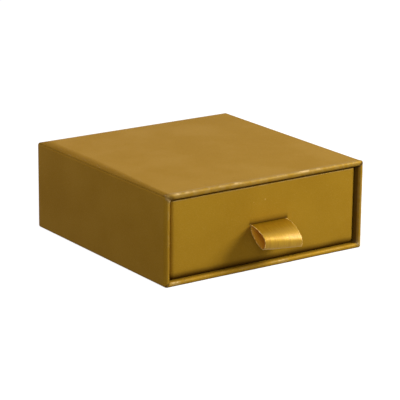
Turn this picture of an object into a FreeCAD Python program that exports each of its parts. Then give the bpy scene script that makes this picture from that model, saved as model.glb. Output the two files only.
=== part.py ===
import FreeCAD, Part

import math
import os

# Sliding drawer gift box: a sleeve of wrapped greyboard, closed at the back, holds a wrapped greyboard
# drawer with a satin ribbon pull.
# Frame, in millimetres: X to the right, Y to the back, Z up. The origin is the centre of the sleeve's
# underside. The drawer is shown pushed home and slides out along -Y.

Vector = FreeCAD.Vector

# Driving dimensions: the sleeve.
sleeve_width = 90.0  # over the wrap, along X
sleeve_depth = 90.0  # from the mouth to the back patch, along Y
sleeve_height = 34.3  # over the wrap, along Z
sleeve_board = 1.5  # greyboard of the sleeve
paper = 0.2  # the one paper used for wraps, liners and the back patch
fold_radius = 1.0  # outside of the four long folds
lip_flat = 0.2  # flat left along the middle of a lip, where the wrap turns over a board's end
turn_in = 15.0  # wrap turned into the mouth
back_flap = 10.0  # wrap turned over onto the back
patch_margin = 2.0  # back patch short of the sleeve's edges
seam_width = 0.3  # slit where the wrap's two ends meet
seam_inset = 8.0  # seam from the left side, on the underside

# Driving dimensions: the drawer and its place in the sleeve.
drawer_board = 1.5  # greyboard of the drawer
side_gap = 0.9  # drawer to sleeve, on each side
top_gap = 0.9  # drawer to sleeve, above
back_gap = 0.3  # drawer to sleeve, behind
drawer_recess = 1.2  # drawer front behind the mouth
drawer_edge_radius = 1.8  # outside of the drawer's upright and bottom edges
rim_radius = 0.45  # where the wrap turns over the drawer's rim
stay_thickness = 0.15  # paper tape pressed flush into each corner
stay_reach = 8.0  # tape along each wall from the corner
stay_end_gap = 1.0  # tape short of the wall's top and of its rounded bottom edge

# Driving dimensions: the ribbon pull.
ribbon_width = 16.0
ribbon_thickness = 0.3
ribbon_offset = 1.5  # ribbon's centre to the right of the drawer's
slot_raise = 0.2  # slot above the middle of the drawer's front
slot_end_gap = 0.3  # slot longer than the ribbon, at each end
leg_gap = 0.1  # between the two legs in the slot
bend_inside = 0.15  # inside radius of the ribbon where it turns at the slot
tape_thickness = 0.15
tape_margin = 2.0  # tape past the ribbon's tails, all round
tape_gap = 2.0  # tape short of the drawer's lined floor and of its rim

# The loop outside the slot, as corners of its centre line: distance out from the drawer's front,
# distance below the slot's middle, and the radius that rounds the corner.
loop_shoulder = (4.3, 0.1, 6.0)
loop_crown = (9.9, 3.1, 2.8)
loop_nose = (8.9, 8.8, 1.3)
loop_belly = (3.3, 6.0, 5.0)
loop_heel = 2.6  # below the slot, where the lower leg leaves the drawer's front
heel_radius = 1.5

least_radius = 0.05
near = 0.001  # how close counts as in one place

# Levels of the sleeve that follow.
sleeve_wall = sleeve_board + 2 * paper
lip_radius = (sleeve_wall - lip_flat) / 2
mid_board = sleeve_wall / 2
half_width = sleeve_width / 2
mouth_y = -sleeve_depth / 2
patch_y = sleeve_depth / 2
wrap_back_y = patch_y - paper
board_back_y = wrap_back_y - paper
back_inner_y = board_back_y - sleeve_board - paper
floor_z = sleeve_wall
ceiling_z = sleeve_height - sleeve_wall

# Levels of the drawer that follow.
drawer_wall = drawer_board + 2 * paper
drawer_half = half_width - sleeve_wall - side_gap
front_y = mouth_y + drawer_recess
rear_y = back_inner_y - back_gap
drawer_bottom = floor_z
drawer_top = ceiling_z - top_gap
base_board_top = drawer_bottom + paper + drawer_board
base_liner_top = base_board_top + paper
front_inner_y = front_y + paper + drawer_board

# Levels of the ribbon that follow.
slot_z = (drawer_bottom + drawer_top) / 2 + slot_raise
leg_height = (ribbon_thickness + leg_gap) / 2
bend_radius = bend_inside + ribbon_thickness / 2
slot_half = leg_height + bend_radius
tape_depth = ribbon_thickness + tape_thickness
tape_reach = min(slot_z - base_liner_top, drawer_top - slot_z) - tape_gap
tail_reach = tape_reach - tape_margin


def block(x_range, y_range, z_range):
    """A box between two values on each axis."""
    corner = Vector(x_range[0], y_range[0], z_range[0])
    size = [high - low for low, high in (x_range, y_range, z_range)]
    return Part.makeBox(size[0], size[1], size[2], corner)


def span(middle, half):
    """A range about its middle."""
    return (middle - half, middle + half)


def edges_along(solid, axis):
    """Straight edges that run along one axis, given as 0, 1 or 2."""
    found = []
    for edge in solid.Edges:
        start = edge.Vertexes[0].Point
        end = edge.Vertexes[-1].Point
        aside = [abs(end[i] - start[i]) for i in range(3) if i != axis]
        if max(aside) < near < abs(end[axis] - start[axis]):
            found.append(edge)
    return found


def edges_at(solid, axis, level):
    """Edges that lie wholly in the plane at a level of one axis."""
    low = ("XMin", "YMin", "ZMin")[axis]
    high = ("XMax", "YMax", "ZMax")[axis]
    found = []
    for edge in solid.Edges:
        bounds = edge.BoundBox
        if max(abs(getattr(bounds, low) - level), abs(getattr(bounds, high) - level)) < near:
            found.append(edge)
    return found


def inside_edges(edges, half, heights):
    """Those of some edges whose middles are within a half width and a range of heights."""
    found = []
    for edge in edges:
        middle = edge.CenterOfMass
        if abs(middle.x) < half + near and heights[0] - near < middle.z < heights[1] + near:
            found.append(edge)
    return found


def under_paper(radius):
    """Radius of the board beneath paper that is rounded to a given radius."""
    return max(radius - paper, least_radius)


def sleeve_form(inset):
    """The sleeve's walls and back as one body: with no inset the wrap's outside, at one paper the boards."""
    outside = block(
        span(0, half_width - inset), (mouth_y + inset, wrap_back_y - inset), (inset, sleeve_height - inset)
    )
    fold = under_paper(fold_radius) if inset else fold_radius
    lip = under_paper(lip_radius) if inset else lip_radius
    outside = outside.makeFillet(fold, edges_along(outside, 1))
    ends = edges_at(outside, 1, mouth_y + inset) + edges_at(outside, 1, wrap_back_y - inset)
    outside = outside.makeFillet(lip, ends)
    half = half_width - sleeve_wall + inset
    heights = (floor_z - inset, ceiling_z + inset)
    hollow = block(span(0, half), (mouth_y - sleeve_depth, back_inner_y + inset), heights)
    form = outside.cut(hollow)
    return form.makeFillet(lip, inside_edges(edges_at(form, 1, mouth_y + inset), half, heights))


def sleeve_boards():
    """The five greyboard panels of the sleeve; the top and bottom run over the sides."""
    form = sleeve_form(paper)
    far = sleeve_width + sleeve_depth
    under_top = sleeve_height - paper - sleeve_board
    over_bottom = paper + sleeve_board
    side_x = half_width - paper - sleeve_board
    middle = (over_bottom, under_top)
    back = (board_back_y - sleeve_board, board_back_y + paper)
    depth = span(0, far)
    return {
        "sleeve_top_board": form.common(block(depth, depth, (under_top, far))),
        "sleeve_bottom_board": form.common(block(depth, depth, (-far, over_bottom))),
        "sleeve_left_board": form.common(block((-far, -side_x), depth, middle)),
        "sleeve_right_board": form.common(block((side_x, far), depth, middle)),
        "sleeve_back_board": form.common(block(span(0, side_x), back, middle)),
    }


def seam_slit():
    """The slit on the underside where the ends of a sheet meet."""
    start = -half_width + seam_inset
    return block((start, start + seam_width), span(0, sleeve_depth), (-sleeve_wall, 2 * sleeve_wall))


def sleeve_wrap():
    """One sheet round the sleeve, turned into the mouth and over onto the back."""
    skin = sleeve_form(0).cut(sleeve_form(paper))
    inside = block(
        span(0, half_width - mid_board),
        (mouth_y + turn_in, board_back_y - sleeve_board / 2),
        (mid_board, sleeve_height - mid_board),
    )
    back_window = block(
        span(0, half_width - back_flap),
        (board_back_y - sleeve_wall, patch_y),
        (back_flap, sleeve_height - back_flap),
    )
    return skin.cut(inside).cut(back_window).cut(seam_slit())


def sleeve_liners():
    """Paper that lines the sleeve behind the turned-in wrap: the four walls in one sheet, and the back."""
    lined = (mouth_y + turn_in, back_inner_y)
    side_x = half_width - sleeve_wall
    outer = block(span(0, side_x + paper), lined, (floor_z - paper, ceiling_z + paper))
    hollow = block(span(0, side_x), span(0, sleeve_depth), (floor_z, ceiling_z))
    back = (back_inner_y, back_inner_y + paper)
    return {
        "sleeve_liner": outer.cut(hollow).cut(seam_slit()),
        "sleeve_back_liner": block(span(0, side_x + paper), back, (floor_z - paper, ceiling_z + paper)),
    }


def sleeve_back_patch():
    """Paper over the back: it lies on the flaps and dips onto the board in the window between them."""
    face = block(
        span(0, half_width - patch_margin),
        (wrap_back_y, patch_y),
        (patch_margin, sleeve_height - patch_margin),
    )
    window = block(
        span(0, half_width - back_flap), (board_back_y, patch_y), (back_flap, sleeve_height - back_flap)
    )
    dip = block(
        span(0, half_width - back_flap - paper),
        (wrap_back_y, patch_y),
        (back_flap + paper, sleeve_height - back_flap - paper),
    )
    return face.fuse(window).cut(dip).removeSplitter()


def drawer_form(inset):
    """The drawer's walls and base as one body: with no inset the wrap's outside, at one paper the boards."""
    half = drawer_half - inset
    ends = (front_y + inset, rear_y - inset)
    bottom = drawer_bottom + inset
    top = drawer_top - inset
    edge_radius = under_paper(drawer_edge_radius) if inset else drawer_edge_radius
    rim = under_paper(rim_radius) if inset else rim_radius
    outside = block(span(0, half), ends, (bottom, top))
    outside = outside.makeFillet(edge_radius, edges_along(outside, 2) + edges_at(outside, 2, bottom))
    wall = drawer_wall - 2 * inset
    hollow_floor = base_board_top if inset else base_liner_top
    hollow = block(
        span(0, half - wall), (ends[0] + wall, ends[1] - wall), (hollow_floor, top + sleeve_height)
    )
    form = outside.cut(hollow)
    return form.makeFillet(rim, edges_at(form, 2, top))


def upright_block(inset, heights, radius):
    """A block of the drawer's outline less an inset, with its upright edges rounded."""
    solid = block(span(0, drawer_half - inset), (front_y + inset, rear_y - inset), heights)
    return solid.makeFillet(radius, edges_along(solid, 2))


def stay_layer():
    """The thin skin of the drawer's boards that the corner tapes are pressed into."""
    heights = (drawer_bottom + drawer_edge_radius + stay_end_gap, drawer_top - paper - stay_end_gap)
    radius = under_paper(drawer_edge_radius)
    core_radius = max(radius - stay_thickness, least_radius)
    outside = upright_block(paper, heights, radius)
    return outside.cut(upright_block(paper + stay_thickness, heights, core_radius))


def corner_stays():
    """Four strips of paper tape, one round each upright corner of the drawer."""
    layer = stay_layer()
    side = drawer_half - paper
    heights = (drawer_bottom, drawer_top)
    rows = {"front": (front_y, front_y + paper + stay_reach), "back": (rear_y - paper - stay_reach, rear_y)}
    columns = {"left": (-side, -side + stay_reach), "right": (side - stay_reach, side)}
    stays = {}
    for row, y_range in rows.items():
        for column, x_range in columns.items():
            stays[f"corner_stay_{row}_{column}"] = layer.common(block(x_range, y_range, heights))
    return stays


def ribbon_slot():
    """The slot through the front board and the wrap outside it."""
    middle = (front_y - paper, front_inner_y)
    return block(span(ribbon_offset, ribbon_width / 2 + slot_end_gap), middle, span(slot_z, slot_half))


def drawer_boards(stays):
    """The five greyboard panels of the drawer, with the tapes pressed in and the slot cut."""
    form = drawer_form(paper)
    side_x = drawer_half - paper - drawer_board
    front = (front_y, front_inner_y)
    back = (rear_y - paper - drawer_board, rear_y)
    middle = (front[1], back[0])
    wide = span(0, drawer_half)
    heights = (drawer_bottom, drawer_top)
    boards = {
        "drawer_base_board": block(span(0, side_x), middle, (drawer_bottom, base_board_top)),
        "drawer_front_board": block(wide, front, heights),
        "drawer_back_board": block(wide, back, heights),
        "drawer_left_board": block((-drawer_half, -side_x), middle, heights),
        "drawer_right_board": block((side_x, drawer_half), middle, heights),
    }
    boards = {name: form.common(shape) for name, shape in boards.items()}
    for name in boards:
        if name != "drawer_base_board":
            for stay in stays.values():
                boards[name] = boards[name].cut(stay)
    boards["drawer_front_board"] = boards["drawer_front_board"].cut(ribbon_slot())
    return boards


def tape_block(extra):
    """The place of the tape over the ribbon's tails, and of the wrap over the tape when made larger."""
    depth = (front_inner_y, front_inner_y + tape_depth + extra)
    width = span(ribbon_offset, ribbon_width / 2 + tape_margin + extra)
    return block(width, depth, span(slot_z, tape_reach + extra))


def drawer_base_liner():
    """Paper on the base board, between the turned-in walls."""
    depth = (front_y + drawer_wall, rear_y - drawer_wall)
    return block(span(0, drawer_half - drawer_wall), depth, (base_board_top, base_liner_top))


def drawer_wrap():
    """One sheet under and round the drawer, over its rim and down inside to the base board."""
    skin = drawer_form(0).fuse(tape_block(paper))
    skin = skin.cut(drawer_form(paper)).cut(tape_block(0))
    return skin.cut(drawer_base_liner()).cut(ribbon_slot())


def ribbon_path():
    """Corners of the ribbon's centre line from the upper tail to the lower one: Y, Z and radius."""
    tail_y = front_inner_y + ribbon_thickness / 2
    heel_y = front_y - ribbon_thickness / 2
    upper = slot_z + leg_height
    lower = slot_z - leg_height
    path = [(tail_y, slot_z + tail_reach, 0), (tail_y, upper, bend_radius)]
    path.append((front_y - loop_shoulder[0], slot_z - loop_shoulder[1] + leg_height, loop_shoulder[2]))
    for out, down, radius in (loop_crown, loop_nose, loop_belly):
        path.append((front_y - out, slot_z - down, radius))
    path.append((heel_y, slot_z - loop_heel, heel_radius))
    path.append((heel_y, lower, bend_radius))
    path.append((tail_y, lower, bend_radius))
    path.append((tail_y, slot_z - tail_reach, 0))
    return path


def rounded_wire(path, x):
    """A wire in the plane at one X, straight between corners and rounded at each of them."""
    edges = []
    last = Vector(x, path[0][0], path[0][1])
    for before, here, after in zip(path, path[1:], path[2:]):
        corner = Vector(x, here[0], here[1])
        back = (Vector(x, before[0], before[1]) - corner).normalize()
        ahead = (Vector(x, after[0], after[1]) - corner).normalize()
        turn = back.getAngle(ahead) / 2
        reach = here[2] / math.tan(turn)
        middle_reach = here[2] / math.sin(turn) - here[2]
        start = corner + back * reach
        end = corner + ahead * reach
        halfway = corner + (back + ahead).normalize() * middle_reach
        edges.append(Part.makeLine(last, start))
        edges.append(Part.Arc(start, halfway, end).toShape())
        last = end
    edges.append(Part.makeLine(last, Vector(x, path[-1][0], path[-1][1])))
    return Part.Wire(edges)


def ribbon_pull():
    """The satin ribbon: two tails inside, two legs through the slot and the loop outside."""
    centre = rounded_wire(ribbon_path(), ribbon_offset - ribbon_width / 2)
    one_side = centre.makeOffset2D(ribbon_thickness / 2, 0, False, True)
    strip = one_side.makeOffset2D(-ribbon_thickness, 0, True, True)
    return strip.extrude(Vector(ribbon_width, 0, 0))


def ribbon_tape(ribbon):
    """Paper tape over the tails, pressed down round them."""
    return tape_block(0).cut(ribbon)


def make_nodes():
    """Every piece by its name."""
    nodes = sleeve_boards()
    nodes.update(sleeve_liners())
    nodes["sleeve_wrap"] = sleeve_wrap()
    nodes["sleeve_back_patch"] = sleeve_back_patch()
    stays = corner_stays()
    nodes.update(drawer_boards(stays))
    nodes.update(stays)
    nodes["drawer_wrap"] = drawer_wrap()
    nodes["drawer_base_liner"] = drawer_base_liner()
    nodes["ribbon_pull"] = ribbon_pull()
    nodes["ribbon_tape"] = ribbon_tape(nodes["ribbon_pull"])
    return nodes


os.makedirs("parts", exist_ok=True)
for name, shape in make_nodes().items():
    shape.exportStep(f"parts/{name}.step")
    print(name, len(shape.Solids), "solid", round(shape.Volume, 2), "mm3", shape.isValid())
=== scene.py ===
import logging
import math
from dataclasses import dataclass, field
from enum import Enum
from functools import cache
from typing import Any, Callable, Iterable

import bpy
import numpy as np
from mathutils import Matrix, Vector, noise


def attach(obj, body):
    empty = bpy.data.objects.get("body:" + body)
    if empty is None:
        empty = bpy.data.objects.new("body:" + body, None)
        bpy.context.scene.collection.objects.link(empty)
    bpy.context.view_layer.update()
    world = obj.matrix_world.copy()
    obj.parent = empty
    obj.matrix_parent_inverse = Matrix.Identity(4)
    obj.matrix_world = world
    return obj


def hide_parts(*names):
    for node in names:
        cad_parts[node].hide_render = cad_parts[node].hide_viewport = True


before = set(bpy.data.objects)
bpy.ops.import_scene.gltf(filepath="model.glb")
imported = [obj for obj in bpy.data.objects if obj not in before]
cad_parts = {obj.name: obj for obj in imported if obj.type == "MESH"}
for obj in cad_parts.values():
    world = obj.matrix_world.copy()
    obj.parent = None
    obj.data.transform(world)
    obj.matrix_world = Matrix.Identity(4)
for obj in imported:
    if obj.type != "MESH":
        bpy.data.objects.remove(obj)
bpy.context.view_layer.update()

log = logging.getLogger("gift_box")

MM = 0.001
HAIR = 1e-6  # a distance that counts as none
QUARTER = math.pi / 2
X, Y, Z = Vector((1, 0, 0)), Vector((0, 1, 0)), Vector((0, 0, 1))
Colour = tuple[float, float, float]
Inputs = dict[str | int, Any]
Socket = bpy.types.NodeSocket


class Slot(Enum):
    """Material slots that the record names."""

    GOLD_PAPER = "gold_paper"
    LINING_PAPER = "lining_paper"
    GREYBOARD = "greyboard"
    STAY_TAPE = "stay_tape"
    GOLD_SATIN = "gold_satin"


class Body(Enum):
    """The two bodies that move against each other."""

    SLEEVE = "sleeve"
    DRAWER = "drawer"


def srgb(red: int, green: int, blue: int) -> Colour:
    """Turns a written colour into the linear one that a shader takes.

    Args:
        red: Red, 0 to 255.
        green: Green, 0 to 255.
        blue: Blue, 0 to 255.

    Returns:
        The linear colour.
    """
    shares = [value / 255 for value in (red, green, blue)]
    return tuple(s / 12.92 if s <= 0.04045 else ((s + 0.055) / 1.055) ** 2.4 for s in shares)


def smoothstep(value: float) -> float:
    """Eases a share from 0 to 1 with level ends."""
    held = min(max(value, 0.0), 1.0)
    return held * held * (3 - 2 * held)


def bell(distance: float, reach: float) -> float:
    """Gives 1 at no distance, falling smoothly to nothing past the reach."""
    return math.exp(-((distance / reach) ** 2))


def ripple(place: Vector, wave: float, seed: float) -> float:
    """Gives a smooth uneven height, from -1 to 1.

    Args:
        place: A point on the piece.
        wave: The size of the unevenness, in metres.
        seed: Shifts the pattern, so that no two pieces share it.

    Returns:
        The height there.
    """
    return noise.noise(place / wave + Vector((seed, 2.7 * seed, -1.3 * seed)))


def add_object(name: str, data: Any) -> bpy.types.Object:
    """Puts a mesh, lamp or camera in the scene as an object.

    Args:
        name: The object's name.
        data: Its mesh, lamp or camera.

    Returns:
        The object.
    """
    made = bpy.data.objects.new(name, data)
    bpy.context.scene.collection.objects.link(made)
    return made


# ---------------------------------------------------------------- node writing


class NodeWriter:
    """Writes nodes into one tree and hands back their outputs."""

    def __init__(self, tree: bpy.types.NodeTree) -> None:
        """Keeps the tree and empties it."""
        self.tree = tree
        tree.nodes.clear()

    def node(self, kind: str, inputs: Inputs | None = None, **settings: Any) -> bpy.types.Node:
        """Adds a node.

        Args:
            kind: The node's type name.
            inputs: Values or outputs for its sockets, by name or number.
            settings: The node's own properties.

        Returns:
            The new node.
        """
        made = self.tree.nodes.new(kind)
        for name, value in settings.items():
            setattr(made, name, value)
        for name, value in (inputs or {}).items():
            socket = made.inputs[name]
            if isinstance(value, Socket):
                self.tree.links.new(value, socket)
            else:
                socket.default_value = (*value, 1.0) if socket.type == "RGBA" else value
        return made

    def math(self, kind: str, first: Any, second: Any = 0.0, clamp: bool = False) -> Socket:
        """Adds a Math node and gives its output."""
        inputs = {0: first, 1: second}
        return self.node("ShaderNodeMath", inputs, operation=kind, use_clamp=clamp).outputs[0]

    def times(self, first: Any, second: Any) -> Socket:
        """Multiplies two values."""
        return self.math("MULTIPLY", first, second)

    def remap(
        self, value: Any, low: float, high: float, to_low: float = 0.0, to_high: float = 1.0
    ) -> Socket:
        """Maps a value's range smoothly onto another.

        Args:
            value: The output to map.
            low: The value that becomes to_low.
            high: The value that becomes to_high.
            to_low: The result at low and under it.
            to_high: The result at high and over it.

        Returns:
            The mapped output.
        """
        ends = {"From Min": low, "From Max": high, "To Min": to_low, "To Max": to_high}
        kind = "ShaderNodeMapRange"
        return self.node(kind, {"Value": value, **ends}, interpolation_type="SMOOTHSTEP").outputs[0]

    def spread(self, value: Any, to_low: float = 0.0, to_high: float = 1.0) -> Socket:
        """Maps the range that a noise mostly keeps to onto another."""
        return self.remap(value, 0.3, 0.7, to_low, to_high)

    def mix(self, share: Any, first: Any, second: Any, blend: str = "MIX") -> Socket:
        """Mixes two colours, from the first at 0 to the second at 1."""
        inputs = {0: share, 6: first, 7: second}
        return self.node("ShaderNodeMix", inputs, data_type="RGBA", blend_type=blend).outputs[2]

    def mottle(self, tone: Socket, value: Any, depth: float) -> Socket:
        """Darkens and lightens a colour with a noise, by a share of itself."""
        return self.mix(1.0, tone, self.spread(value, 1 - depth, 1 + depth), "MULTIPLY")

    def layers(self, tone: Socket, over: Iterable[tuple[Socket, Colour]]) -> Socket:
        """Lays colours over a tone, each by its own share.

        Args:
            tone: The colour underneath.
            over: Shares and colours, the lowest layer first.

        Returns:
            The covered colour.
        """
        for share, colour in over:
            tone = self.mix(share, tone, colour)
        return tone

    def noise(self, vector: Any, scale: Any, detail: float, rough: float) -> Socket:
        """Adds a noise texture and gives its value."""
        inputs = {"Vector": vector, "Scale": scale, "Detail": detail, "Roughness": rough}
        return self.node("ShaderNodeTexNoise", inputs).outputs[0]

    def cells(self, vector: Any, scale: Any) -> tuple[Socket, Any]:
        """Divides a surface into cells: the distance to a middle, and three random values.

        Args:
            vector: The place on the piece.
            scale: How many cells there are to a metre.

        Returns:
            The distance to the nearest middle, and the cell's random values.
        """
        made = self.node("ShaderNodeTexVoronoi", {"Vector": vector, "Scale": scale})
        random = self.node("ShaderNodeSeparateColor", {0: made.outputs["Color"]}).outputs
        return made.outputs["Distance"], random

    def stretch(self, vector: Any, scale: tuple[float, float, float]) -> Socket:
        """Scales a vector on its three axes."""
        return self.node("ShaderNodeMapping", {"Vector": vector, "Scale": scale}).outputs[0]

    def place(self) -> Socket:
        """Gives the place on the piece that patterns follow."""
        return self.node("ShaderNodeTexCoord").outputs["Object"]

    def mark(self, name: str) -> Socket:
        """Gives a value that the mesh keeps at its points."""
        return self.node("ShaderNodeAttribute", attribute_name=name).outputs["Fac"]

    def group(self, made: bpy.types.NodeTree, inputs: Inputs) -> Any:
        """Places a shader group with its own values and gives its outputs."""
        return self.node("ShaderNodeGroup", inputs, node_tree=made).outputs

    def seen(self) -> Socket:
        """Gives 1 where the camera sees a surface, directly, mirrored or through glass.

        Returns:
            The output.
        """
        path = self.node("ShaderNodeLightPath").outputs
        mirrored = self.math("MAXIMUM", path["Is Glossy Ray"], path["Is Transmission Ray"])
        return self.math("MAXIMUM", path["Is Camera Ray"], mirrored)


class GroupWriter(NodeWriter):
    """Writes a node group with named inputs and outputs."""

    def __init__(
        self,
        name: str,
        inputs: dict[str, float | str],
        outputs: Iterable[str],
        kind: str = "Shader",
        result: str = "Float",
    ) -> None:
        """Makes the empty group.

        Args:
            name: The group's name.
            inputs: Input names, each with its default number or the kind of its socket.
            outputs: Names of what it gives.
            kind: Shader or Geometry.
            result: The kind of its outputs' sockets.
        """
        super().__init__(bpy.data.node_groups.new(name, f"{kind}NodeTree"))
        new_socket = self.tree.interface.new_socket
        for title, given in inputs.items():
            plain = given if isinstance(given, str) else type(given).__name__.title()
            socket = new_socket(name=title, in_out="INPUT", socket_type=f"NodeSocket{plain}")
            if plain != given:
                socket.default_value = given
        for title in outputs:
            new_socket(name=title, in_out="OUTPUT", socket_type=f"NodeSocket{result}")
        self.given = self.tree.nodes.new("NodeGroupInput").outputs

    def finish(self, outputs: dict[str, Socket]) -> bpy.types.NodeTree:
        """Joins the results to the group's outputs and gives the tree."""
        self.node("NodeGroupOutput", outputs)
        return self.tree


@cache
def paper_grain() -> bpy.types.NodeTree:
    """Coated paper: broad cloudy tone, a fine tooth and the pearl flakes in the coating.

    Returns:
        The group.
    """
    scales = {"Tooth Scale": 2600.0, "Cloud Scale": 45.0, "Flake Scale": 5200.0}
    outputs = ("Cloud", "Tooth", "Flake", "Height")
    write = GroupWriter("paper_grain", {"Vector": "Vector", **scales}, outputs)
    place, tooth_scale = write.given["Vector"], write.given["Tooth Scale"]
    cloud = write.noise(place, write.given["Cloud Scale"], 3.0, 0.55)
    tooth = write.noise(place, tooth_scale, 4.0, 0.6)
    felt = write.noise(place, write.times(tooth_scale, 0.16), 2.0, 0.5)
    _, random = write.cells(place, write.given["Flake Scale"])
    flake = write.remap(random[0], 0.82, 1.0)
    height = write.math("ADD", write.times(tooth, 0.6), write.times(felt, 0.8))
    made = {"Cloud": write.spread(cloud), "Tooth": tooth, "Flake": flake, "Height": height}
    return write.finish(made)


@cache
def edge_rub() -> bpy.types.NodeTree:
    """Burnish along a folded edge, broken up as fingers and board make it.

    Returns:
        The group.
    """
    inputs = {"Vector": "Vector", "Edge": 0.0, "Scale": 420.0, "Patchiness": 0.6}
    write = GroupWriter("edge_rub", inputs, ("Mask", "Height"))
    edge = write.given["Edge"]
    patches = write.noise(write.given["Vector"], write.given["Scale"], 4.0, 0.65)
    broken = write.times(write.given["Patchiness"], write.remap(patches, 0.38, 0.62))
    mask = write.math("MULTIPLY", edge, write.math("SUBTRACT", 1.0, broken), clamp=True)
    return write.finish({"Mask": mask, "Height": write.times(edge, patches)})


@cache
def dust_specks() -> bpy.types.NodeTree:
    """Few, small flecks: one in some of the cells that the surface is divided into.

    Returns:
        The group.
    """
    inputs = {"Vector": "Vector", "Cells": 160.0, "Size": 0.05, "Share": 0.2}
    write = GroupWriter("dust_specks", inputs, ("Dark", "Light"))
    share = write.given["Share"]
    distance, random = write.cells(write.given["Vector"], write.given["Cells"])
    radius = write.times(write.given["Size"], write.math("ADD", random[2], 0.4))
    inside = write.math("LESS_THAN", distance, radius)
    dark = write.math("LESS_THAN", random[0], share)
    light = write.math("GREATER_THAN", random[0], write.math("SUBTRACT", 1.0, share))
    return write.finish({"Dark": write.times(inside, dark), "Light": write.times(inside, light)})


@cache
def fibre_mat() -> bpy.types.NodeTree:
    """Pressed fibre: long hairs lying every way over a coarse pulp.

    Returns:
        The group.
    """
    inputs = {"Vector": "Vector", "Fibre Scale": 700.0, "Pulp Scale": 260.0}
    write = GroupWriter("fibre_mat", inputs, ("Tone", "Hair", "Height"))
    place = write.given["Vector"]
    pulp = write.noise(place, write.given["Pulp Scale"], 5.0, 0.65)
    hair = None
    for turn in (0.3, 1.4, 2.5):
        turned = {"Vector": place, "Rotation": (turn, turn / 2, turn)}
        laid = write.stretch(write.node("ShaderNodeMapping", turned).outputs[0], (1.0, 0.09, 0.5))
        lines = write.remap(write.noise(laid, write.given["Fibre Scale"], 2.0, 0.4), 0.56, 0.66)
        hair = lines if hair is None else write.math("MAXIMUM", hair, lines)
    height = write.math("ADD", write.times(hair, 0.5), pulp)
    return write.finish({"Tone": write.spread(pulp), "Hair": hair, "Height": height})


@cache
def satin_weave() -> bpy.types.NodeTree:
    """Ribbon weave on a map in millimetres: long floats, bound down by fine weft in steps.

    Returns:
        The group.
    """
    inputs = {"Vector": "Vector", "Warp Count": 9.0, "Weft Count": 4.5, "Step": 0.4}
    write = GroupWriter("satin_weave", inputs, ("Float", "Bind", "Slub", "Height"))
    across, along = write.node("ShaderNodeSeparateXYZ", {0: write.given["Vector"]}).outputs[:2]
    turn = 2 * math.pi
    warp_phase = write.times(across, write.times(write.given["Warp Count"], turn))
    warp = write.math("ABSOLUTE", write.math("COSINE", write.times(warp_phase, 0.5)))
    shift = write.times(warp_phase, write.given["Step"])
    weft_phase = write.times(along, write.times(write.given["Weft Count"], turn))
    weft = write.math("SINE", write.math("ADD", weft_phase, shift))
    bind = write.remap(weft, 0.72, 1.0)
    slub = write.noise(write.stretch(write.given["Vector"], (3.2, 0.16, 1.0)), 1.0, 3.0, 0.6)
    height = write.math("SUBTRACT", warp, write.times(bind, 0.7))
    made = {"Float": warp, "Bind": bind, "Slub": write.spread(slub), "Height": height}
    return write.finish(made)


# ---------------------------------------------------------------- finishes


class MaterialWriter(NodeWriter):
    """Writes one material."""

    def __init__(self, name: str) -> None:
        """Makes the empty material.

        Args:
            name: The material's name.
        """
        self.made = bpy.data.materials.new(name)
        self.made.use_nodes = True
        super().__init__(self.made.node_tree)

    def finish(
        self, sockets: Inputs, height: Socket, depth: float, strength: float
    ) -> bpy.types.Material:
        """Adds the surface shader with a bump, and the material's end.

        Args:
            sockets: Values and outputs for the Principled shader.
            height: The bump's height.
            depth: How deep the bump goes, in metres.
            strength: How much of it shows.

        Returns:
            The material.
        """
        relief = {"Height": height, "Distance": depth, "Strength": strength}
        bump = self.node("ShaderNodeBump", relief)
        shader = self.node("ShaderNodeBsdfPrincipled", {**sockets, "Normal": bump.outputs[0]})
        self.node("ShaderNodeOutputMaterial", {"Surface": shader.outputs[0]})
        return self.made


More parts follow.
